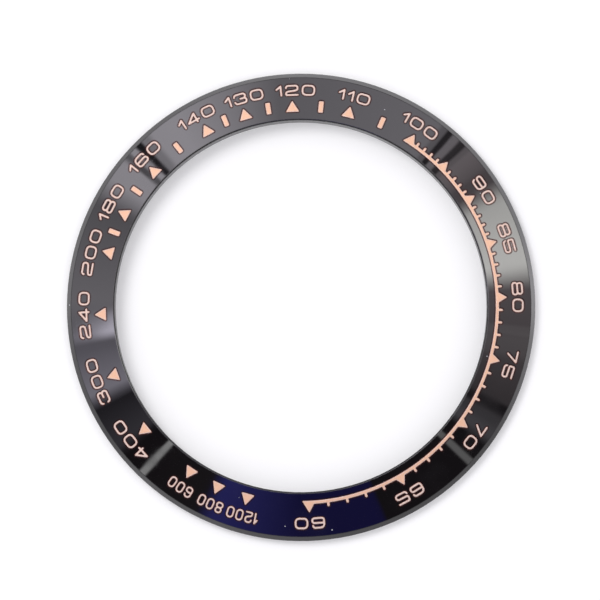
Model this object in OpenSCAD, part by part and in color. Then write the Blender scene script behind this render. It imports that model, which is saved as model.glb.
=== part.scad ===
// Tachymeter insert of a chronograph bezel: a black ceramic ring with a sloped face, whose
// engraved scale is filled with rose gold. The back of the ring lies on Z = 0, its axis is Z,
// and the mark of the 60 is on +Y. Sizes are millimetres, and marks are measured seen from above.

/* [Ring] */
// Diameter of the bore that goes round the crystal's seat
bore_d = 30.6; // [28:0.1:34]
// Width of the ring from its bore to its rim
ring_w = 4; // [3.7:0.1:5]
// Height of the upright outer wall, from the back to the bevel
rim_h = 0.7; // [0.3:0.02:1]
// Slope of the face, which rises towards the bore, in degrees
face_slope = 15; // [8:1:20]
// Width of the bevel round the rim, seen from above
rim_bevel_w = 0.35; // [0.1:0.05:0.4]
// Height of the bevel round the rim
rim_bevel_h = 0.3; // [0.1:0.05:0.4]
// Width of the small bevel between the face and the bore, seen from above
bore_bevel_w = 0.12; // [0.04:0.01:0.2]
// Height of the small bevel between the face and the bore
bore_bevel_h = 0.08; // [0.04:0.01:0.2]
// Width and height of the broken edges round the back
back_bevel = 0.06; // [0.02:0.01:0.12]

/* [Engraving] */
// Depth of the engraved recesses, square to the face
recess_depth = 0.22; // [0.1:0.01:0.3]
// How far the top of a fill lies below the face
fill_drop = 0.03; // [0.01:0.01:0.06]
// Clearance between a fill and the wall of its recess
fill_gap = 0.02; // [0.005:0.005:0.02]

/* [Marks] */
// Distance from the bore to the feet of the marks
mark_margin = 0.71; // [0.4:0.01:0.8]
// Height of a triangle, towards the rim
triangle_h = 1; // [0.7:0.02:1.06]
// Width of a triangle at its foot
triangle_w = 1.14; // [0.7:0.02:1.3]
// Rounding of a triangle's corners
triangle_r = 0.05; // [0.03:0.01:0.12]
// Length of a bar, towards the rim
bar_l = 1; // [0.6:0.02:1.06]
// Width of a bar
bar_w = 0.42; // [0.2:0.01:0.6]
// Rounding of a bar's corners
bar_r = 0.07; // [0.03:0.01:0.1]
// Width of the scale track's line
track_w = 0.28; // [0.15:0.01:0.4]
// How far a tick stands out of the track's line
tick_l = 0.33; // [0.2:0.01:0.45]
// Width of a tick
tick_w = 0.22; // [0.15:0.01:0.35]
// Ticks between one triangle of the track and the next
ticks = 4; // [1:1:5]

/* [Numerals] */
// Distance from the tips of the triangles to the feet of the numerals
numeral_margin = 0.37; // [0.2:0.01:0.5]
// Height of a numeral
numeral_h = 0.96; // [0.8:0.02:1.2]
// Width of a wide digit
wide_w = 1.14; // [0.8:0.02:1.2]
// Width of a wide seven
seven_w = 1.02; // [0.7:0.02:1.1]
// Width of a wide one
one_w = 0.54; // [0.4:0.02:0.6]
// Width of the engraved stroke of a wide digit
pen_w = 0.17; // [0.1:0.01:0.2]
// Gap between two wide digits
digit_gap = 0.24; // [0.15:0.01:0.4]
// Rounding of a wide digit's corners, on the middle of its stroke
corner_r = 0.28; // [0.15:0.01:0.35]
// Width of a narrow digit, as the numbers above 400 have
narrow_w = 0.64; // [0.5:0.02:0.7]
// Width of a narrow one
narrow_one_w = 0.34; // [0.28:0.02:0.4]
// Width of the engraved stroke of a narrow digit
narrow_pen_w = 0.15; // [0.1:0.01:0.17]
// Gap between two narrow digits
narrow_gap = 0.14; // [0.1:0.01:0.2]
// Turn of the 200 away from its mark, in degrees, which keeps it off the 180
turn_200 = -1.2; // [-2:0.1:-0.5]
// Turn of the 140 away from its mark, in degrees, which keeps it off the 130
turn_140 = -1.8; // [-2:0.1:0]
// Turn of the 110 away from its mark, in degrees
turn_110 = -0.6; // [-2:0.1:2]
// Turn of the 100 away from its mark, in degrees
turn_100 = -1.2; // [-2:0.1:2]
// Turn of the 70 away from its mark, in degrees
turn_70 = 0.6; // [-2:0.1:2]

/* [Hidden] */
// Smoothness of the round surfaces
$fn = 180;
// A full turn of the seconds hand stands for this many units an hour
turn_value = 60;
// Values of the scale that have a number
numbered = [
    60, 65, 70, 75, 80, 85, 90, 100, 110, 120, 130, 140, 160, 180, 200, 240, 300, 400, 600, 800, 1200
];
// The track runs from the first value to this one, with a triangle at every step
track_end = 100;
track_step = 5;
// This value's triangle lies halfway between its neighbours, and the others in their true places
track_middle = 95;
// Bars stand between the numbers of the track's end and this one
last_bar_end = 200;
// The numbers up to this one have wide digits
last_wide = 400;
free_triangles = [for (v = numbered) if (v > track_end) v];
bar_pairs = [for (i = [1:len(numbered) - 1])
    if (numbered[i - 1] >= track_end && numbered[i] <= last_bar_end) [numbered[i - 1], numbered[i]]];

bore_r = bore_d / 2;
rim_r = bore_r + ring_w;
face_r = rim_r - rim_bevel_w;
mark_foot = bore_r + mark_margin;
mark_tip = mark_foot + triangle_h;
numeral_foot = mark_tip + numeral_margin;
numeral_mid = numeral_foot + numeral_h / 2;
top_h = face_z(bore_r + bore_bevel_w);
// Height that clears the whole ring, for cuts made from above
clear_h = 2 * top_h;
// Straight sides round the outline of the track's sector, and how far out they lie
sector_sides = 4;
sector_r = 2 * rim_r;
// How far the short straight steps of a rounded corner may lie inside its true arc
arc_error = 0.008;
// Least radius that a corner is drawn round with
least_r = 0.02;

// Proportions of the digits. Roundness is a share of the half width or of the height.
digit_round = 0.9;
bowl_round = 0.23;
hook_share = 0.24;
lean_share = 0.05;
waist_share = 0.03;
joint_share = 0.2;
one_flag = 0.34;
two_drop = 0.15;
four_stem = 0.76;
four_bar = 0.24;
seven_foot = 0.34;
gold_colour = "#f7c5a5";
ceramic_colour = "#1c1b1f";

function bar_name(pair) = str("bar_", (pair[0] + pair[1]) / 2);

// Height of the sloped face at a distance from the axis
function face_z(r) = rim_h + rim_bevel_h + (face_r - r) * tan(face_slope);

// Clockwise turn from the 60 to a value of the scale
function scale_angle(v) = 360 * turn_value / v;
function halfway(a, b) = (scale_angle(a) + scale_angle(b)) / 2;
function track_angle(v) =
    v == track_middle ? halfway(v - track_step, v + track_step) : scale_angle(v);

function unit(v) = v / norm(v);
function left_of(v) = [-v[1], v[0]];
function flat(p) = [p[0], p[1]];
function reversed(points) = [for (i = [len(points) - 1:-1:0]) points[i]];
function arc(centre, r, start, turn) =
    let (steps = ceil(abs(turn) / (2 * acos(1 - arc_error / r))))
    [for (i = [0:steps]) centre + r * [cos(start + turn * i / steps), sin(start + turn * i / steps)]];

// Points round the corner q of the way p, q, s, at a distance to its left. q holds x, y and
// the corner's radius on the way itself.
function corner(p, q, s, left) =
    let (
        a = unit(flat(q) - flat(p)),
        b = unit(flat(s) - flat(q)),
        turn = atan2(cross(a, b), a * b),
        side = sign(turn),
        mitre = (left_of(a) + left_of(b)) / (1 + a * b),
        r = q[2] - side * left,
        out = -side * left_of(a)
    )
    r < least_r
        ? [flat(q) + left * mitre]
        : arc(flat(q) + side * q[2] * mitre, r, atan2(out[1], out[0]), turn);

// Outline of a closed way, at a distance to its left
function round_loop(way, left) =
    let (n = len(way))
    [for (i = [0:n - 1]) each corner(way[(i + n - 1) % n], way[i], way[(i + 1) % n], left)];

// One side of an open way, without its ends
function open_side(way, left) =
    len(way) < 3 ? [] : [for (i = [1:len(way) - 2]) each corner(way[i - 1], way[i], way[i + 1], left)];

// Half circle round the end of a way that arrives from p
function round_end(p, end, half) =
    let (out = -left_of(unit(flat(end) - flat(p))))
    arc(flat(end), half, atan2(out[1], out[0]), 180);

module closed_stroke(way, width) {
    difference() {
        polygon(round_loop(way, -width / 2));
        polygon(round_loop(way, width / 2));
    }
}

module open_stroke(way, width) {
    n = len(way);
    polygon(concat(
        open_side(way, -width / 2),
        round_end(way[n - 2], way[n - 1], width / 2),
        reversed(open_side(way, width / 2)),
        round_end(way[1], way[0], width / 2)
    ));
}

// One digit on its foot line, centred on x = 0. Each way holds x, y and corner radius.
module digit(d, w, pen, grow) {
    l = pen / 2 - w / 2;
    r = w / 2 - pen / 2;
    b = pen / 2;
    t = numeral_h - pen / 2;
    m = (b + t) / 2;
    // Radii of a full-height corner, of a half-height bowl's corner and of a tight corner
    k = min(corner_r, r * digit_round);
    kb = min(k, (t - b) * bowl_round);
    ks = pen / 2;
    // How far a hooked end reaches from its bar and leans, and the step in a waist
    hook = (t - b) * hook_share;
    lean = w * lean_share;
    waist = w * waist_share;
    // Where the 6 and the 9 join their bowls to their sides
    joint = l + pen * joint_share;
    stroke = pen + 2 * grow;
    if (d == 0) {
        closed_stroke([[l, b, k], [r, b, k], [r, t, k], [l, t, k]], stroke);
    } else if (d == 1) {
        open_stroke([[l, t - (t - b) * one_flag], [r, t, 0], [r, b]], stroke);
    } else if (d == 2) {
        open_stroke([[l, t - hook], [l + lean, t, kb], [r, t, kb], [r, m, kb],
            [l, m - (t - b) * two_drop, kb], [l, b, ks], [r, b]], stroke);
    } else if (d == 3) {
        open_stroke([[l, t - hook], [l + lean, t, kb], [r - waist, t, kb], [r - waist, m, kb], [0, m]],
            stroke);
        open_stroke([[l, b + hook], [l + lean, b, kb], [r, b, kb], [r, m, kb], [0, m]], stroke);
    } else if (d == 4) {
        stem = l + (r - l) * four_stem;
        bar = b + (t - b) * four_bar;
        closed_stroke([[l, bar, 0], [stem, bar, 0], [stem, t, 0]], stroke);
        open_stroke([[stem, bar], [r, bar]], stroke);
        open_stroke([[stem, bar], [stem, b]], stroke);
    } else if (d == 5) {
        open_stroke([[r - waist, t], [l, t, ks], [l, m, ks], [r, m, kb], [r, b, kb], [l + lean, b, kb],
            [l, b + hook]], stroke);
    } else if (d == 6) {
        open_stroke([[r - waist, t - hook], [r - waist - lean, t, kb], [l, t, k], [l, b, kb], [r, b, kb],
            [r, m, kb], [0, m]], stroke);
        open_stroke([[0, m], [joint, m]], stroke);
    } else if (d == 7) {
        open_stroke([[l, t], [r, t, 0], [l + (r - l) * seven_foot, b]], stroke);
    } else if (d == 8) {
        closed_stroke([[l, b, kb], [r, b, kb], [r, m, kb], [l, m, kb]], stroke);
        closed_stroke([[l + waist, m, kb], [r - waist, m, kb], [r - waist, t, kb], [l + waist, t, kb]],
            stroke);
    } else if (d == 9) {
        open_stroke([[l + waist, b + hook], [l + waist + lean, b, kb], [r, b, k], [r, t, kb], [l, t, kb],
            [l, m, kb], [0, m]], stroke);
        open_stroke([[0, m], [-joint, m]], stroke);
    }
}

function digits_of(v) = [for (c = str(v)) ord(c) - ord("0")];
function is_wide(v) = v <= last_wide;
function width_of(d, wide) =
    wide ? (d == 1 ? one_w : d == 7 ? seven_w : wide_w) : (d == 1 ? narrow_one_w : narrow_w);
function gap_of(wide) = wide ? digit_gap : narrow_gap;
// Middle of each digit, from the left end of the number
function middles(ds, wide, i = 0, from = 0) =
    i == len(ds)
        ? []
        : concat([from + width_of(ds[i], wide) / 2],
            middles(ds, wide, i + 1, from + width_of(ds[i], wide) + gap_of(wide)));
// A number of three digits that starts with a 1 is centred on its second digit
function centre_of(ds, at, wide) =
    len(ds) == 3 && ds[0] == 1
        ? at[1]
        : (at[0] - width_of(ds[0], wide) / 2 + at[len(ds) - 1] + width_of(ds[len(ds) - 1], wide) / 2) / 2;
function turn_of(v) =
    v == 200 ? turn_200
    : v == 140 ? turn_140
    : v == 110 ? turn_110
    : v == 100 ? turn_100
    : v == 70 ? turn_70
    : 0;

// Puts its children on the face at a clockwise angle and a distance from the axis, tops outwards
module on_face(angle, r) {
    rotate(-angle) translate([0, r]) children();
}

module numeral_plan(v, grow) {
    ds = digits_of(v);
    wide = is_wide(v);
    at = middles(ds, wide);
    centre = centre_of(ds, at, wide);
    pen = wide ? pen_w : narrow_pen_w;
    for (i = [0:len(ds) - 1]) {
        along = (at[i] - centre) / numeral_mid * 180 / PI;
        on_face(scale_angle(v) + turn_of(v) + along, numeral_foot)
            digit(ds[i], width_of(ds[i], wide), pen, grow);
    }
}

module triangle_plan(angle, grow) {
    half = triangle_w / 2;
    way = [[-half, 0, triangle_r], [half, 0, triangle_r], [0, triangle_h, triangle_r]];
    on_face(angle, mark_foot) polygon(round_loop(way, -grow));
}

module bar_plan(angle, grow) {
    half = bar_w / 2;
    way = [[-half, 0, bar_r], [half, 0, bar_r], [half, bar_l, bar_r], [-half, bar_l, bar_r]];
    on_face(angle, mark_foot) polygon(round_loop(way, -grow));
}

module tick_plan(angle, grow) {
    on_face(angle, mark_foot)
        open_stroke([[0, track_w / 2], [0, track_w + tick_l - tick_w / 2]], tick_w + 2 * grow);
}

// The track's line: a ring cut to the sector from the 100 to the 60
module track_line_plan(grow) {
    start = track_angle(track_end);
    side = (360 - start) / sector_sides;
    rays = [for (i = [0:sector_sides]) start + side * i];
    intersection() {
        difference() {
            circle(r = mark_foot + track_w + grow);
            circle(r = mark_foot - grow);
        }
        polygon([[0, 0], for (a = rays) sector_r * [sin(a), cos(a)]]);
    }
}

module track_plan(grow) {
    track_line_plan(grow);
    for (v = [turn_value:track_step:track_end]) triangle_plan(track_angle(v), grow);
    for (v = [turn_value:track_step:track_end - track_step]) {
        from = track_angle(v);
        to = track_angle(v + track_step);
        for (i = [1:ticks]) tick_plan(from + (to - from) * i / (ticks + 1), grow);
    }
}

// The part of the ring between two depths below its sloped face
module face_layer(top, bottom) {
    down = 1 / cos(face_slope);
    rotate_extrude()
        polygon([
            [bore_r, face_z(bore_r) - bottom * down],
            [face_r, face_z(face_r) - bottom * down],
            [face_r, face_z(face_r) - top * down],
            [bore_r, face_z(bore_r) - top * down]
        ]);
}

// Fill of the recesses whose plan its children draw
module fill() {
    intersection() {
        linear_extrude(clear_h) children();
        face_layer(fill_drop, recess_depth);
    }
}

module ring_body() {
    rotate_extrude()
        polygon([
            [bore_r, back_bevel],
            [bore_r + back_bevel, 0],
            [rim_r - back_bevel, 0],
            [rim_r, back_bevel],
            [rim_r, rim_h],
            [face_r, rim_h + rim_bevel_h],
            [bore_r + bore_bevel_w, top_h],
            [bore_r, top_h - bore_bevel_h]
        ]);
}

module recesses() {
    intersection() {
        linear_extrude(clear_h) {
            track_plan(fill_gap);
            for (v = numbered) numeral_plan(v, fill_gap);
            for (v = free_triangles) triangle_plan(scale_angle(v), fill_gap);
            for (pair = bar_pairs) bar_plan(halfway(pair[0], pair[1]), fill_gap);
        }
        face_layer(-clear_h, recess_depth);
    }
}

module ceramic_ring() {
    color(ceramic_colour)
        difference() {
            ring_body();
            recesses();
        }
}

module scale_track() {
    color(gold_colour) fill() track_plan(0);
}

module numeral(v) {
    color(gold_colour) fill() numeral_plan(v, 0);
}

module triangle(v) {
    color(gold_colour) fill() triangle_plan(scale_angle(v), 0);
}

module bar(pair) {
    color(gold_colour) fill() bar_plan(halfway(pair[0], pair[1]), 0);
}

ceramic_ring();
scale_track();
for (v = numbered)
    numeral(v);
for (v = free_triangles)
    triangle(v);
for (pair = bar_pairs)
    bar(pair);
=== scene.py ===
"""Tachymeter insert of a chronograph bezel: a glossy black ceramic ring whose engraved scale is
filled with rose gold, lying on a white table. Lengths are metres, +Z is up and the 60 is on +Y."""

import math

import bpy
from mathutils import Matrix, Vector


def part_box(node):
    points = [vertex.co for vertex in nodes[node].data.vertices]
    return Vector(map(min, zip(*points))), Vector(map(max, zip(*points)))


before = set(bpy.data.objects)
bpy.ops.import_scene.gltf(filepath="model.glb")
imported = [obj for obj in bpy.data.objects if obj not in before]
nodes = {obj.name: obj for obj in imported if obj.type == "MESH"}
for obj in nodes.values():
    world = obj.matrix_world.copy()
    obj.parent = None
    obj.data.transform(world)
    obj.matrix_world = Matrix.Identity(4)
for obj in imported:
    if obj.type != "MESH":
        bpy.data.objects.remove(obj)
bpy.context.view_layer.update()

scene = bpy.context.scene
scene.view_settings.view_transform = "Standard"

MM = 0.001
TURN = 2 * math.pi

# The square picture: its side in pixels, and the width in millimetres of the sensor that takes it
PICTURE_SIDE = 600
SENSOR_WIDTH = 36.0

# Nothing nearer to the camera or further from it than this is seen
NEAREST_SEEN = 10 * MM
FURTHEST_SEEN = 10.0

# Where the ring is seen from, and how it lies in the picture
CAMERA_DISTANCE = 340 * MM
LEAN_RIGHT = math.radians(0.7)
LEAN_DOWN = math.radians(3.5)
PICTURE_TURN = math.radians(2.4)
RING_CENTRE_PX = (301.0, 307.1)
PX_PER_MM = 12.11

# The ring: its rim comes from the frame, its bore, its slope and its back bevel are the part's
RIM_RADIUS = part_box("ceramic_ring")[1][0]
BORE_RADIUS = 15.3 * MM
FACE_RADIUS = (BORE_RADIUS + RIM_RADIUS) / 2
FACE_SLOPE = math.radians(15)
BACK_BEVEL = 0.06 * MM

# Directions of the picture on the table, to its right and down it, and the direction of the camera
RIGHT = Vector((-math.cos(PICTURE_TURN), math.sin(PICTURE_TURN), 0))
DOWN = Vector((math.sin(PICTURE_TURN), math.cos(PICTURE_TURN), 0))
UP = Vector((0, 0, 1))
TO_CAMERA = (RIGHT * math.tan(LEAN_RIGHT) + DOWN * math.tan(LEAN_DOWN) + UP).normalized()


# Camera
def make_camera():
    """A camera that shows the ring's centre at its place in the picture, at the picture's scale."""
    data = bpy.data.cameras.new("camera")
    camera = bpy.data.objects.new("camera", data)
    scene.collection.objects.link(camera)
    data.sensor_width = SENSOR_WIDTH
    data.lens = PX_PER_MM * (CAMERA_DISTANCE / MM) / PICTURE_SIDE * SENSOR_WIDTH
    data.clip_start = NEAREST_SEEN
    data.clip_end = FURTHEST_SEEN
    middle = PICTURE_SIDE / 2
    aside = (middle - RING_CENTRE_PX[0]) / PX_PER_MM * MM
    below = (middle - RING_CENTRE_PX[1]) / PX_PER_MM * MM
    place = TO_CAMERA * CAMERA_DISTANCE
    aim = RIGHT * aside + DOWN * below
    back = (place - aim).normalized()
    right = (-DOWN).cross(back).normalized()
    up = back.cross(right)
    turn = Matrix((right, up, back)).transposed()
    camera.matrix_world = Matrix.Translation(place) @ turn.to_4x4()
    scene.camera = camera


# Nodes
def grey(value):
    return (value, value, value, 1)


def put(tree, kind, sockets=None, **settings):
    """A new node with its settings, and a value or a link for each input socket that is named."""
    node = tree.nodes.new(kind)
    for name, value in settings.items():
        setattr(node, name, value)
    for name, value in (sockets or {}).items():
        if isinstance(value, bpy.types.NodeSocket):
            tree.links.new(value, node.inputs[name])
        else:
            node.inputs[name].default_value = value
    return node


def calc(tree, operation, *values, clamp=False):
    """The result of a calculation with numbers."""
    node = put(tree, "ShaderNodeMath", dict(enumerate(values)), operation=operation, use_clamp=clamp)
    return node.outputs[0]


def rise(tree, value, low, high):
    """0 where the value is below low, 1 above high and a smooth way between them."""
    node = put(tree, "ShaderNodeMapRange", {"Value": value, "From Min": low, "From Max": high},
               interpolation_type="SMOOTHSTEP")
    return node.outputs["Result"]


def vector(tree, operation, **sockets):
    """The results of a calculation with the vectors a and b, or with a and the number by."""
    names = {"a": 0, "b": 1, "by": "Scale"}
    given = {names[name]: value for name, value in sockets.items()}
    return put(tree, "ShaderNodeVectorMath", given, operation=operation).outputs


def blend(tree, kind, factor, a, b, **settings):
    """The way from a to b, by the factor, for one of the kinds of value that can be mixed."""
    node = put(tree, "ShaderNodeMix", data_type=kind, **settings)
    word = {"RGBA": "Color", "FLOAT": "Float", "VECTOR": "Vector"}[kind]
    named = {socket.identifier: socket for socket in node.inputs}
    for name, value in (("Factor_Float", factor), ("A_" + word, a), ("B_" + word, b)):
        if isinstance(value, bpy.types.NodeSocket):
            tree.links.new(value, named[name])
        else:
            named[name].default_value = value
    return next(socket for socket in node.outputs if socket.identifier == "Result_" + word)


def blend_colours(tree, factor, a, b, way="MIX"):
    return blend(tree, "RGBA", factor, a, b, blend_type=way)


def blend_values(tree, factor, a, b):
    return blend(tree, "FLOAT", factor, a, b)


def blend_vectors(tree, factor, a, b):
    return blend(tree, "VECTOR", factor, a, b)


def ramp(tree, position, stops):
    """The colour at a position from 0 to 1, between stops that are given in order."""
    node = put(tree, "ShaderNodeValToRGB", {"Fac": position})
    elements = node.color_ramp.elements
    for element, (place, colour) in zip(elements, (stops[0], stops[-1])):
        element.position = place
        element.color = (*colour, 1)
    for place, colour in stops[1:-1]:
        elements.new(place).color = (*colour, 1)
    return node.outputs["Color"]


# Tints of the things in the studio
PLAIN = (1.0, 0.955, 1.04)
COOL = (1.0, 0.95, 1.12)
WARM = (1.0, 0.99, 0.96)
BROWN = (1.05, 0.92, 0.97)
BLUE = (0.14, 0.13, 1.0)
PALE_BLUE = (0.17, 0.17, 1.0)
PAINT = (1.0, 0.98, 1.02)

# What hangs over the table, in degrees clockwise from the 60 as the face shows it: where each thing
# starts and ends, its light at both ends, and its tint. Between two of them lies a soft edge.
OVERHEAD = {
    "blue_cloth": (-18.4, 3, 0.19, 0.19, BLUE),
    "lit_cloth": (15, 25.3, 0.4, 0.54, PALE_BLUE),
    "dark_corner": (29.5, 52.6, 0.04, 0.022, BROWN),
    "grey_wall": (54.8, 65.8, 0.185, 0.06, COOL),
    "left_window": (69.5, 81.5, 1.05, 0.55, COOL),
    "left_blind": (94, 119.8, 0.82, 0.5, PLAIN),
    "top_window": (126.3, 148, 1.62, 1.72, PLAIN),
    "top_blind": (163, 172, 1.26, 0.88, PLAIN),
    "ceiling": (176.5, 219, 0.7, 0.86, PLAIN),
    "shade": (231.5, 235, 0.7, 0.53, BROWN),
    "shade_edge": (236.5, 239.8, 0.37, 0.4, BROWN),
    "lamp_box": (244.3, 261.5, 2.3, 3.1, WARM),
    "right_wall": (267.6, 297.6, 0.47, 0.19, BROWN),
    "right_card": (303.5, 306.8, 0.22, 0.34, PLAIN),
    "right_corner": (309.8, 340.9, 0.03, 0.026, BROWN),
}

# Thin things that stand before them: where each shows, half its width in degrees, and the share of
# the light that it lets through
STANDS = {
    "left_arm": (133.4, 1.45, 0.25),
    "left_leg": (137.3, 1.45, 0.05),
    "left_shade": (138.8, 3.1, 0.64),
    "right_arm_shade": (221.6, 1.7, 0.7),
    "right_arm": (223.2, 1.25, 0.12),
    "right_leg": (227.2, 1.5, 0.2),
    "right_leg_shade": (228.6, 1.6, 0.8),
    "card_holder": (299.8, 2.1, 0.2),
}

# Thin lights among them: where each shows, half its width in degrees, and the light that it adds
SLITS = {
    "left_door": (45.95, 1.35, 1.25),
    "right_shelf": (278.9, 1.8, 0.1),
    "right_picture": (283, 4.5, 0.1),
    "right_door": (314.95, 1.4, 0.55),
}

# The share of a thin thing's half width over which it has no soft edge
THIN_CORE = 0.35

# A bright pane of the left window, given as a thin light is. Only the inner part of the face shows
# it, because it starts between the heights with these sines.
BRIGHT_PANE = (87.6, 5.6, 2.2)
PANE_FOOT = (0.8315, 0.839)

# What stands round the table, by its azimuth in degrees: where each thing starts and ends, its light
# at both ends and its tint
WALLS = {
    "near_board": (42, 50, 0.7, 0.72, PAINT),
    "left_board": (62, 84, 0.52, 0.72, PAINT),
    "left_sill": (97, 105, 1.06, 1.08, PAINT),
    "far_left_wall": (120, 150, 0.93, 0.93, PAINT),
    "far_wall": (180, 222, 1.3, 1.06, PAINT),
    "right_sill": (246, 264, 1.2, 1.74, PAINT),
    "right_cupboard": (270, 277, 1.6, 1.15, PAINT),
    "near_right_wall": (303, 350, 0.48, 0.5, PAINT),
}

# Sines of the heights between which the walls go over into the dark, and the dark into what hangs
# over the table
WALL_TOP = (0.2, 0.34)
OVERHEAD_FOOT = (0.62, 0.74)
DARK = 0.2

# Plain daylight, which lights the object and the table, and what lies behind them
DAYLIGHT = 0.8
SKY_TINT = (0.99, 0.975, 1.03)
WHITE = 1.0


# World
def share_of_turn(azimuth):
    """Share of a turn of an azimuth in degrees."""
    return azimuth / 360 % 1


def mirrored_share(seen):
    """Share of a turn at which a thing stands that shows in the face at these degrees from the 60."""
    a = math.radians(seen)
    outwards = Vector((math.sin(a), math.cos(a), 0))
    view = (TO_CAMERA * CAMERA_DISTANCE - outwards * FACE_RADIUS).normalized()
    normal = outwards * math.sin(FACE_SLOPE) + UP * math.cos(FACE_SLOPE)
    ray = 2 * normal.dot(view) * normal - view
    return share_of_turn(math.degrees(math.atan2(ray.x, ray.y)))


def tinted(level, tint):
    return tuple(level * part for part in tint)


def closed(stops):
    """The stops in order, with one more at each end of the turn so that they close."""
    stops = sorted(stops)
    first, last = stops[0], stops[-1]
    gap = first[0] + 1 - last[0]
    share = (1 - last[0]) / gap
    closing = tuple(p + (q - p) * share for p, q in zip(last[1], first[1]))
    return [(0.0, closing), *stops, (1.0, closing)]


def stops_of(things, place):
    """Stops for the ends of things, where place gives the share of a turn of an end."""
    stops = []
    for start, end, first, last, tint in things.values():
        stops += [(place(start), tinted(first, tint)), (place(end), tinted(last, tint))]
    return closed(stops)


def stripe(tree, share, seen, half):
    """1 in the middle of a thin thing and 0 beyond its soft edges."""
    start = mirrored_share(seen - half)
    end = mirrored_share(seen + half)
    away = calc(tree, "ABSOLUTE", calc(tree, "SUBTRACT", share, (start + end) / 2))
    reach = (end - start) / 2
    return calc(tree, "SUBTRACT", 1.0, rise(tree, away, reach * THIN_CORE, reach))


def overhead_light(tree, share, height):
    """Light of what hangs over the table, with the thin things and the bright pane."""
    light = ramp(tree, share, stops_of(OVERHEAD, mirrored_share))
    for seen, half, level in STANDS.values():
        shaded = blend_colours(tree, 1.0, light, grey(level), "MULTIPLY")
        light = blend_colours(tree, stripe(tree, share, seen, half), light, shaded)
    for seen, half, level in SLITS.values():
        lit = blend_colours(tree, 1.0, light, grey(level), "ADD")
        light = blend_colours(tree, stripe(tree, share, seen, half), light, lit)
    seen, half, level = BRIGHT_PANE
    pane = calc(tree, "MULTIPLY", stripe(tree, share, seen, half), rise(tree, height, *PANE_FOOT))
    lit = blend_colours(tree, 1.0, light, (*tinted(level, COOL), 1), "ADD")
    return blend_colours(tree, pane, light, lit)


def make_world():
    """A studio for what is mirrored, plain daylight for the rest, and white behind the object."""
    world = bpy.data.worlds.new("studio")
    scene.world = world
    world.use_nodes = True
    tree = world.node_tree
    tree.nodes.clear()
    coords = put(tree, "ShaderNodeTexCoord")
    apart = put(tree, "ShaderNodeSeparateXYZ", {0: coords.outputs["Generated"]})
    azimuth = calc(tree, "ARCTAN2", apart.outputs["X"], apart.outputs["Y"])
    share = calc(tree, "FRACT", calc(tree, "DIVIDE", azimuth, TURN))
    height = apart.outputs["Z"]
    overhead = overhead_light(tree, share, height)
    walls = ramp(tree, share, stops_of(WALLS, share_of_turn))
    lower = blend_colours(tree, rise(tree, height, *WALL_TOP), walls, grey(DARK))
    mirrored = blend_colours(tree, rise(tree, height, *OVERHEAD_FOOT), lower, overhead)
    path = put(tree, "ShaderNodeLightPath")
    colour = blend_colours(tree, path.outputs["Is Glossy Ray"], (*tinted(DAYLIGHT, SKY_TINT), 1), mirrored)
    colour = blend_colours(tree, path.outputs["Is Camera Ray"], colour, grey(WHITE))
    background = put(tree, "ShaderNodeBackground", {"Color": colour})
    output = put(tree, "ShaderNodeOutputWorld")
    tree.links.new(background.outputs[0], output.inputs["Surface"])


# Key light, to the left of the ring and above it in the picture, with no reflection of its own
KEY_STRENGTH = 0.31
KEY_WIDTH = 150 * MM
KEY_DISTANCE = 300 * MM
KEY_HEIGHT = math.radians(58)
KEY_UP_PER_LEFT = 0.8


def make_key_light():
    data = bpy.data.lights.new("key", "AREA")
    data.shape = "DISK"
    data.size = KEY_WIDTH
    data.energy = KEY_STRENGTH
    lamp = bpy.data.objects.new("key", data)
    scene.collection.objects.link(lamp)
    level = (-RIGHT - DOWN * KEY_UP_PER_LEFT).normalized()
    towards = level * math.cos(KEY_HEIGHT) + UP * math.sin(KEY_HEIGHT)
    lamp.location = towards * KEY_DISTANCE
    lamp.rotation_mode = "QUATERNION"
    lamp.rotation_quaternion = towards.to_track_quat("Z", "Y")
    lamp.visible_glossy = False


# Table: half its side, how white its paper is, and how much the paper glows to the eye
TABLE_REACH = 1.0
PAPER = 0.8
PAPER_GLOW = 0.225


def make_table():
    mesh = bpy.data.meshes.new("table")
    corners = [(x * TABLE_REACH, y * TABLE_REACH, 0) for x, y in ((-1, -1), (1, -1), (1, 1), (-1, 1))]
    mesh.from_pydata(corners, [], [(0, 1, 2, 3)])
    table = bpy.data.objects.new("table", mesh)
    scene.collection.objects.link(table)
    material = bpy.data.materials.new("white_paper")
    material.use_nodes = True
    tree = material.node_tree
    tree.nodes.clear()
    paper = put(tree, "ShaderNodeBsdfDiffuse", {"Color": grey(PAPER)})
    path = put(tree, "ShaderNodeLightPath")
    seen = calc(tree, "MAXIMUM", path.outputs["Is Camera Ray"], path.outputs["Is Glossy Ray"])
    glow = put(tree, "ShaderNodeEmission", {"Strength": calc(tree, "MULTIPLY", seen, PAPER_GLOW)})
    both = put(tree, "ShaderNodeAddShader", {0: paper.outputs[0], 1: glow.outputs[0]})
    output = put(tree, "ShaderNodeOutputMaterial")
    tree.links.new(both.outputs[0], output.inputs["Surface"])
    mesh.materials.append(material)


# Shared effects
def new_group(name, inputs, outputs):
    """A shader group with sockets of these names and kinds, its inside and its two ends."""
    group = bpy.data.node_groups.new(name, "ShaderNodeTree")
    for socket, (kind, value) in inputs.items():
        made = group.interface.new_socket(socket, in_out="INPUT", socket_type=kind)
        made.default_value = value
    for socket, kind in outputs.items():
        group.interface.new_socket(socket, in_out="OUTPUT", socket_type=kind)
    return group, group.nodes.new("NodeGroupInput").outputs, group.nodes.new("NodeGroupOutput").inputs


def use_group(tree, group, **values):
    return put(tree, "ShaderNodeGroup", values, node_tree=group).outputs


# The lean of the rounded normal at a right-angled edge, and how many probes feel for the edge
EDGE_LEAN = math.radians(45)
EDGE_SAMPLES = 6


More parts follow.
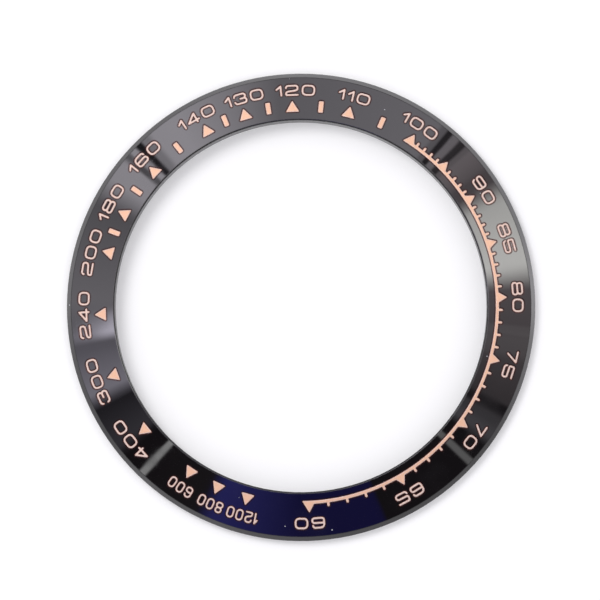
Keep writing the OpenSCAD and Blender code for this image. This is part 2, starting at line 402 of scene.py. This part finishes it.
def edge_group():
    """How near a point is to a sharp edge, 1 at the edge and 0 further off than the reach, and the
    normal with that edge rounded."""
    group, given, made = new_group("sharp_edge", {"Reach": ("NodeSocketFloat", 0.05 * MM)},
                                   {"Nearness": "NodeSocketFloat", "Normal": "NodeSocketVector"})
    rounded = put(group, "ShaderNodeBevel", {"Radius": given["Reach"]}, samples=EDGE_SAMPLES).outputs[0]
    flat = put(group, "ShaderNodeNewGeometry").outputs["True Normal"]
    across = vector(group, "CROSS_PRODUCT", a=rounded, b=flat)[0]
    lean = vector(group, "LENGTH", a=across)["Value"]
    nearness = calc(group, "DIVIDE", lean, math.sin(EDGE_LEAN), clamp=True)
    group.links.new(nearness, made["Nearness"])
    group.links.new(rounded, made["Normal"])
    return group


# Scale of the slow change of a grain, as a share of the scale of the grain itself
PATCH_SCALE = 0.06


def grain_group():
    """Fine grain: a value round 0.5 that changes from point to point, and how it changes slowly."""
    group, given, made = new_group("grain", {"Size": ("NodeSocketFloat", 0.1 * MM)},
                                   {"Fine": "NodeSocketFloat", "Patchy": "NodeSocketFloat"})
    place = put(group, "ShaderNodeTexCoord").outputs["Object"]
    per_size = calc(group, "DIVIDE", 1.0, given["Size"])
    fine = put(group, "ShaderNodeTexNoise", {"Vector": place, "Scale": per_size, "Detail": 4.0}).outputs[0]
    wide = calc(group, "MULTIPLY", per_size, PATCH_SCALE)
    patchy = put(group, "ShaderNodeTexNoise", {"Vector": place, "Scale": wide, "Detail": 2.0}).outputs[0]
    group.links.new(fine, made["Fine"])
    group.links.new(patchy, made["Patchy"])
    return group


# The least speck of dust, as a share of the usual one
LEAST_SPECK = 0.4


def dust_group():
    """Specks of dust: a mask of small round spots of this size, one in a few cells of this width."""
    group, given, made = new_group(
        "dust", {"Spacing": ("NodeSocketFloat", 1.6 * MM), "Speck": ("NodeSocketFloat", 0.05 * MM),
                 "Share": ("NodeSocketFloat", 0.15)}, {"Mask": "NodeSocketFloat"})
    place = put(group, "ShaderNodeTexCoord").outputs["Object"]
    per_cell = calc(group, "DIVIDE", 1.0, given["Spacing"])
    cells = put(group, "ShaderNodeTexVoronoi", {"Vector": place, "Scale": per_cell}, voronoi_dimensions="2D")
    chance = put(group, "ShaderNodeSeparateColor", {0: cells.outputs["Color"]}).outputs
    away = calc(group, "MULTIPLY", cells.outputs["Distance"], given["Spacing"])
    size = calc(group, "MULTIPLY", given["Speck"], calc(group, "ADD", LEAST_SPECK, chance[1]))
    spot = calc(group, "LESS_THAN", away, size)
    here = calc(group, "LESS_THAN", chance[0], given["Share"])
    group.links.new(calc(group, "MULTIPLY", spot, here), made["Mask"])
    return group


EDGE = edge_group()
GRAIN = grain_group()
DUST = dust_group()


# Materials
def new_material(name):
    material = bpy.data.materials.new(name)
    material.use_nodes = True
    tree = material.node_tree
    shader = next(node for node in tree.nodes if node.type == "BSDF_PRINCIPLED")
    return material, tree, shader


def lean_on(tree, height, depth, normal, share=1.0):
    """The normal of a surface with a relief of this depth on it."""
    sockets = {"Height": height, "Distance": depth, "Strength": share, "Normal": normal}
    return put(tree, "ShaderNodeBump", sockets).outputs["Normal"]


# Depth of the relief of the grain and of the dust, and the colour of the dust
GRAIN_DEPTH = 0.004 * MM
DUST_GREY = (0.42, 0.42, 0.44, 1)

# Roughness of the black ceramic where it is polished, what smears and fine lines add to it, and its
# roughness where it is ground, the spread of that, and where it is worn or dusty
POLISHED = 0.02
SMEARED = 0.05
LINED = 0.04
GROUND = 0.34
GROUND_SPREAD = 0.12
WORN = 0.3
DUSTY = 0.8
CERAMIC_IOR = 2.2

# Its colour where it is polished, smeared, ground or worn
BLACK = (0.0028, 0.0022, 0.003, 1)
SMEARED_BLACK = (0.007, 0.0062, 0.0075, 1)
GROUND_BLACK = (0.026, 0.025, 0.028, 1)
WORN_BLACK = (0.05, 0.05, 0.052, 1)

# How much of the smeared black a smear shows, of the worn roughness a worn edge has, and of the worn
# black it shows
SMEAR_SHARE = 0.5
WORN_SHARE = 0.5
WORN_BLACK_SHARE = 0.4

# The brown shade painted on the ceramic beside the metal, and how far wear and that painted shade reach from
# an edge
BROWN_SHADE_PAINTED = (0.085, 0.034, 0.033, 1)
WEAR_REACH = 0.1 * MM
PAINTED_SHADE_REACH = 0.17 * MM

# Values between which smears, fine lines and wear set in, and the nearness to an edge between which
# the painted brown shade does
SMEAR_FROM = (0.5, 0.72)
LINES_FROM = (0.55, 0.8)
WEAR_FROM = (0.45, 0.7)
PAINTED_SHADE_FROM = (0.03, 0.42)

# Margins that tell the walls from the bevels, and the plain ones of the face beside bore and rim
WALL_MARGIN = 0.01 * MM
BORE_MARGIN = (0.3 * MM, 0.5 * MM)
RIM_MARGIN = (0.45 * MM, 0.6 * MM)

# Size of the grain of the ceramic and of the film of smears on it, and the dust on it
CERAMIC_GRAIN = 0.06 * MM
FILM_GRAIN = 0.22 * MM
CERAMIC_DUST = {"Spacing": 1.9 * MM, "Speck": 0.05 * MM, "Share": 0.12}

# Fine polishing lines that run round the ring, and the slow waves of its face
LINE_WIDTH = 0.03 * MM
LINE_STRETCH = 50
WAVE_LENGTH = 4.5 * MM
WAVE_DEPTH = 0.004 * MM

# A surface runs with the sloped face when the cosine between them is over this, and keeps its own
# normal where it comes as near to an edge as this
SAME_SLOPE = 0.999
OWN_NORMAL_FROM = (0.03, 0.1)


def ceramic_zones(tree, radius, height):
    """Where the ceramic is ground and not polished, and where its face can be engraved."""
    bore_wall = calc(tree, "LESS_THAN", radius, BORE_RADIUS + WALL_MARGIN)
    rim_wall = calc(tree, "GREATER_THAN", radius, RIM_RADIUS - WALL_MARGIN)
    back = calc(tree, "LESS_THAN", height, BACK_BEVEL + WALL_MARGIN)
    ground = calc(tree, "MAXIMUM", calc(tree, "MAXIMUM", bore_wall, rim_wall), back)
    off_bore = rise(tree, radius, *(BORE_RADIUS + margin for margin in BORE_MARGIN))
    off_rim = rise(tree, radius, *(RIM_RADIUS - margin for margin in RIM_MARGIN))
    return ground, calc(tree, "MULTIPLY", off_bore, off_rim)


def polishing_lines(tree, flat, radius):
    """Where the fine lines are that run round the ring."""
    upwards = put(tree, "ShaderNodeCombineXYZ", {2: radius}).outputs[0]
    around = vector(tree, "ADD", a=vector(tree, "SCALE", a=flat, by=1 / LINE_STRETCH)[0], b=upwards)[0]
    lines = put(tree, "ShaderNodeTexNoise", {"Vector": around, "Scale": 1 / LINE_WIDTH}).outputs[0]
    return rise(tree, lines, *LINES_FROM)


def on_cone(tree, flat, edge):
    """The normal, with that of a true cone where the surface runs with the sloped face."""
    outwards = vector(tree, "SCALE", a=vector(tree, "NORMALIZE", a=flat)[0], by=math.sin(FACE_SLOPE))[0]
    cone = vector(tree, "ADD", a=outwards, b=UP * math.cos(FACE_SLOPE))[0]
    faceted = put(tree, "ShaderNodeNewGeometry").outputs["True Normal"]
    same = vector(tree, "DOT_PRODUCT", a=faceted, b=cone)["Value"]
    along = calc(tree, "GREATER_THAN", same, SAME_SLOPE)
    clear = calc(tree, "SUBTRACT", 1.0, rise(tree, edge["Nearness"], *OWN_NORMAL_FROM))
    return blend_vectors(tree, calc(tree, "MULTIPLY", along, clear), edge["Normal"], cone)


def black_ceramic():
    """Polished to a mirror on the face and the bevels, fine ground on the upright walls and the back."""
    material, tree, shader = new_material("black_ceramic")
    place = put(tree, "ShaderNodeTexCoord").outputs["Object"]
    xyz = put(tree, "ShaderNodeSeparateXYZ", {0: place}).outputs
    flat = put(tree, "ShaderNodeCombineXYZ", {0: xyz["X"], 1: xyz["Y"]}).outputs[0]
    radius = vector(tree, "LENGTH", a=flat)["Value"]
    ground, engraved = ceramic_zones(tree, radius, xyz["Z"])
    edge = use_group(tree, EDGE, Reach=WEAR_REACH)
    brim = use_group(tree, EDGE, Reach=PAINTED_SHADE_REACH)["Nearness"]
    grain = use_group(tree, GRAIN, Size=CERAMIC_GRAIN)
    film = use_group(tree, GRAIN, Size=FILM_GRAIN)
    dust = use_group(tree, DUST, **CERAMIC_DUST)["Mask"]
    smear = rise(tree, film["Patchy"], *SMEAR_FROM)
    worn = calc(tree, "MULTIPLY", edge["Nearness"], rise(tree, grain["Patchy"], *WEAR_FROM))
    # Painted shade: dark brown on the engraved face beside the fills, standing in for the shade of their
    # recesses
    painted_brown_shade = calc(tree, "MULTIPLY", rise(tree, brim, *PAINTED_SHADE_FROM), engraved)

    polish = calc(tree, "MULTIPLY_ADD", smear, SMEARED, POLISHED)
    polish = calc(tree, "MULTIPLY_ADD", polishing_lines(tree, flat, radius), LINED, polish)
    rough = calc(tree, "MULTIPLY_ADD", grain["Fine"], GROUND_SPREAD, GROUND - GROUND_SPREAD / 2)
    rough = blend_values(tree, ground, polish, rough)
    rough = blend_values(tree, calc(tree, "MULTIPLY", worn, WORN_SHARE), rough, WORN)
    rough = blend_values(tree, dust, rough, DUSTY)

    colour = blend_colours(tree, ground, BLACK, GROUND_BLACK)
    colour = blend_colours(tree, calc(tree, "MULTIPLY", smear, SMEAR_SHARE), colour, SMEARED_BLACK)
    # The painted brown shade beside the fills
    colour = blend_colours(tree, painted_brown_shade, colour, BROWN_SHADE_PAINTED)
    bare = calc(tree, "MULTIPLY", worn, calc(tree, "SUBTRACT", 1.0, engraved))
    colour = blend_colours(tree, calc(tree, "MULTIPLY", bare, WORN_BLACK_SHARE), colour, WORN_BLACK)
    colour = blend_colours(tree, dust, colour, DUST_GREY)

    pattern = {"Vector": place, "Scale": 1 / WAVE_LENGTH, "Detail": 1.0}
    waves = put(tree, "ShaderNodeTexNoise", pattern).outputs[0]
    normal = lean_on(tree, waves, WAVE_DEPTH, on_cone(tree, flat, edge))
    relief = calc(tree, "MULTIPLY", ground, grain["Fine"])
    normal = lean_on(tree, calc(tree, "ADD", relief, dust), GRAIN_DEPTH, normal)
    tree.links.new(colour, shader.inputs["Base Color"])
    tree.links.new(rough, shader.inputs["Roughness"])
    # The painted brown shade also makes the ceramic metallic there, so its reflection is painted brown too
    tree.links.new(painted_brown_shade, shader.inputs["Metallic"])
    tree.links.new(normal, shader.inputs["Normal"])
    shader.inputs["IOR"].default_value = CERAMIC_IOR
    return material


# Rose gold: of the marks, of the numerals painted paler as if more lit, a painted highlight near an edge,
# painted shade at it, where it is stained, and painted shade on the sides of a fill
GOLD = (0.985, 0.6, 0.41, 1)
NUMERAL_GOLD_PAINTED_LIGHTER = (0.93, 0.68, 0.56, 1)
HIGHLIGHT_PAINTED_GOLD = (0.93, 0.85, 0.83, 1)
EDGE_SHADE_PAINTED_GOLD = (0.8, 0.36, 0.23, 1)
STAINED_GOLD = (0.93, 0.52, 0.34, 1)
SIDE_SHADE_PAINTED_GOLD = (0.2, 0.08, 0.05, 1)
STAIN_SHARE = 0.5
DUST_SHARE = 0.6

# How metallic and how rough the fills are, how far the grain spreads that, and its share of relief
FILL_METALLIC = 0.25
FILL_ROUGHNESS = 0.38
FILL_SPREAD = 0.2
FILL_RELIEF = 0.6

# Size of the grain of the metal and of its stains, and the dust on it
FILL_GRAIN = 0.035 * MM
STAIN_GRAIN = 0.16 * MM
FILL_DUST = {"Spacing": 1.3 * MM, "Speck": 0.03 * MM, "Share": 0.2}

# How far off the edge of a fill is felt, the nearness to it between which the painted highlight and the
# painted shade set in, and the values between which stains do
FILL_REACH = 0.13 * MM
HIGHLIGHT_PAINTED_GOLD_FROM = (0.02, 0.22)
EDGE_SHADE_PAINTED_GOLD_FROM = (0.42, 0.8)
STAIN_FROM = (0.5, 0.75)

# A side of a fill is a surface whose normal rises less than this
UPRIGHT = 0.5


def metal_fill(name, middle):
    """Deposited metal: satin, of its own colour in its middle, with a painted highlight round it and painted
    shade at its edge and on its sides.
    """
    material, tree, shader = new_material(name)
    edge = use_group(tree, EDGE, Reach=FILL_REACH)
    grain = use_group(tree, GRAIN, Size=FILL_GRAIN)
    blotch = use_group(tree, GRAIN, Size=STAIN_GRAIN)
    dust = use_group(tree, DUST, **FILL_DUST)["Mask"]
    facing = put(tree, "ShaderNodeNewGeometry").outputs["True Normal"]
    rising = put(tree, "ShaderNodeSeparateXYZ", {0: facing}).outputs["Z"]
    side = calc(tree, "LESS_THAN", rising, UPRIGHT)
    stain = calc(tree, "MULTIPLY", rise(tree, blotch["Fine"], *STAIN_FROM), STAIN_SHARE)
    colour = blend_colours(tree, stain, middle, STAINED_GOLD)
    # Painted highlight near the edge of a fill, then painted shade at the edge and on its upright sides
    colour = blend_colours(tree, rise(tree, edge["Nearness"], *HIGHLIGHT_PAINTED_GOLD_FROM), colour, HIGHLIGHT_PAINTED_GOLD)
    colour = blend_colours(tree, rise(tree, edge["Nearness"], *EDGE_SHADE_PAINTED_GOLD_FROM), colour, EDGE_SHADE_PAINTED_GOLD)
    colour = blend_colours(tree, side, colour, SIDE_SHADE_PAINTED_GOLD)
    colour = blend_colours(tree, calc(tree, "MULTIPLY", dust, DUST_SHARE), colour, DUST_GREY)
    rough = calc(tree, "MULTIPLY_ADD", grain["Fine"], FILL_SPREAD, FILL_ROUGHNESS)
    normal = lean_on(tree, grain["Fine"], GRAIN_DEPTH, edge["Normal"], FILL_RELIEF)
    tree.links.new(colour, shader.inputs["Base Color"])
    tree.links.new(rough, shader.inputs["Roughness"])
    tree.links.new(normal, shader.inputs["Normal"])
    shader.inputs["Metallic"].default_value = FILL_METALLIC
    return material


def dress(node, material):
    mesh = nodes[node].data
    mesh.materials.clear()
    mesh.materials.append(material)


make_camera()
make_world()
make_key_light()
make_table()
ceramic = black_ceramic()
mark_gold = metal_fill("rose_gold_fill", GOLD)
# The numerals get a copy of the same gold painted paler, as painted light standing in for what their thin
# strokes catch
lighter_painted_numeral_gold = metal_fill("lighter_painted_rose_gold_fill", NUMERAL_GOLD_PAINTED_LIGHTER)
for name in nodes:
    metal = lighter_painted_numeral_gold if name.startswith("numeral") else mark_gold
    dress(name, ceramic if name == "ceramic_ring" else metal)
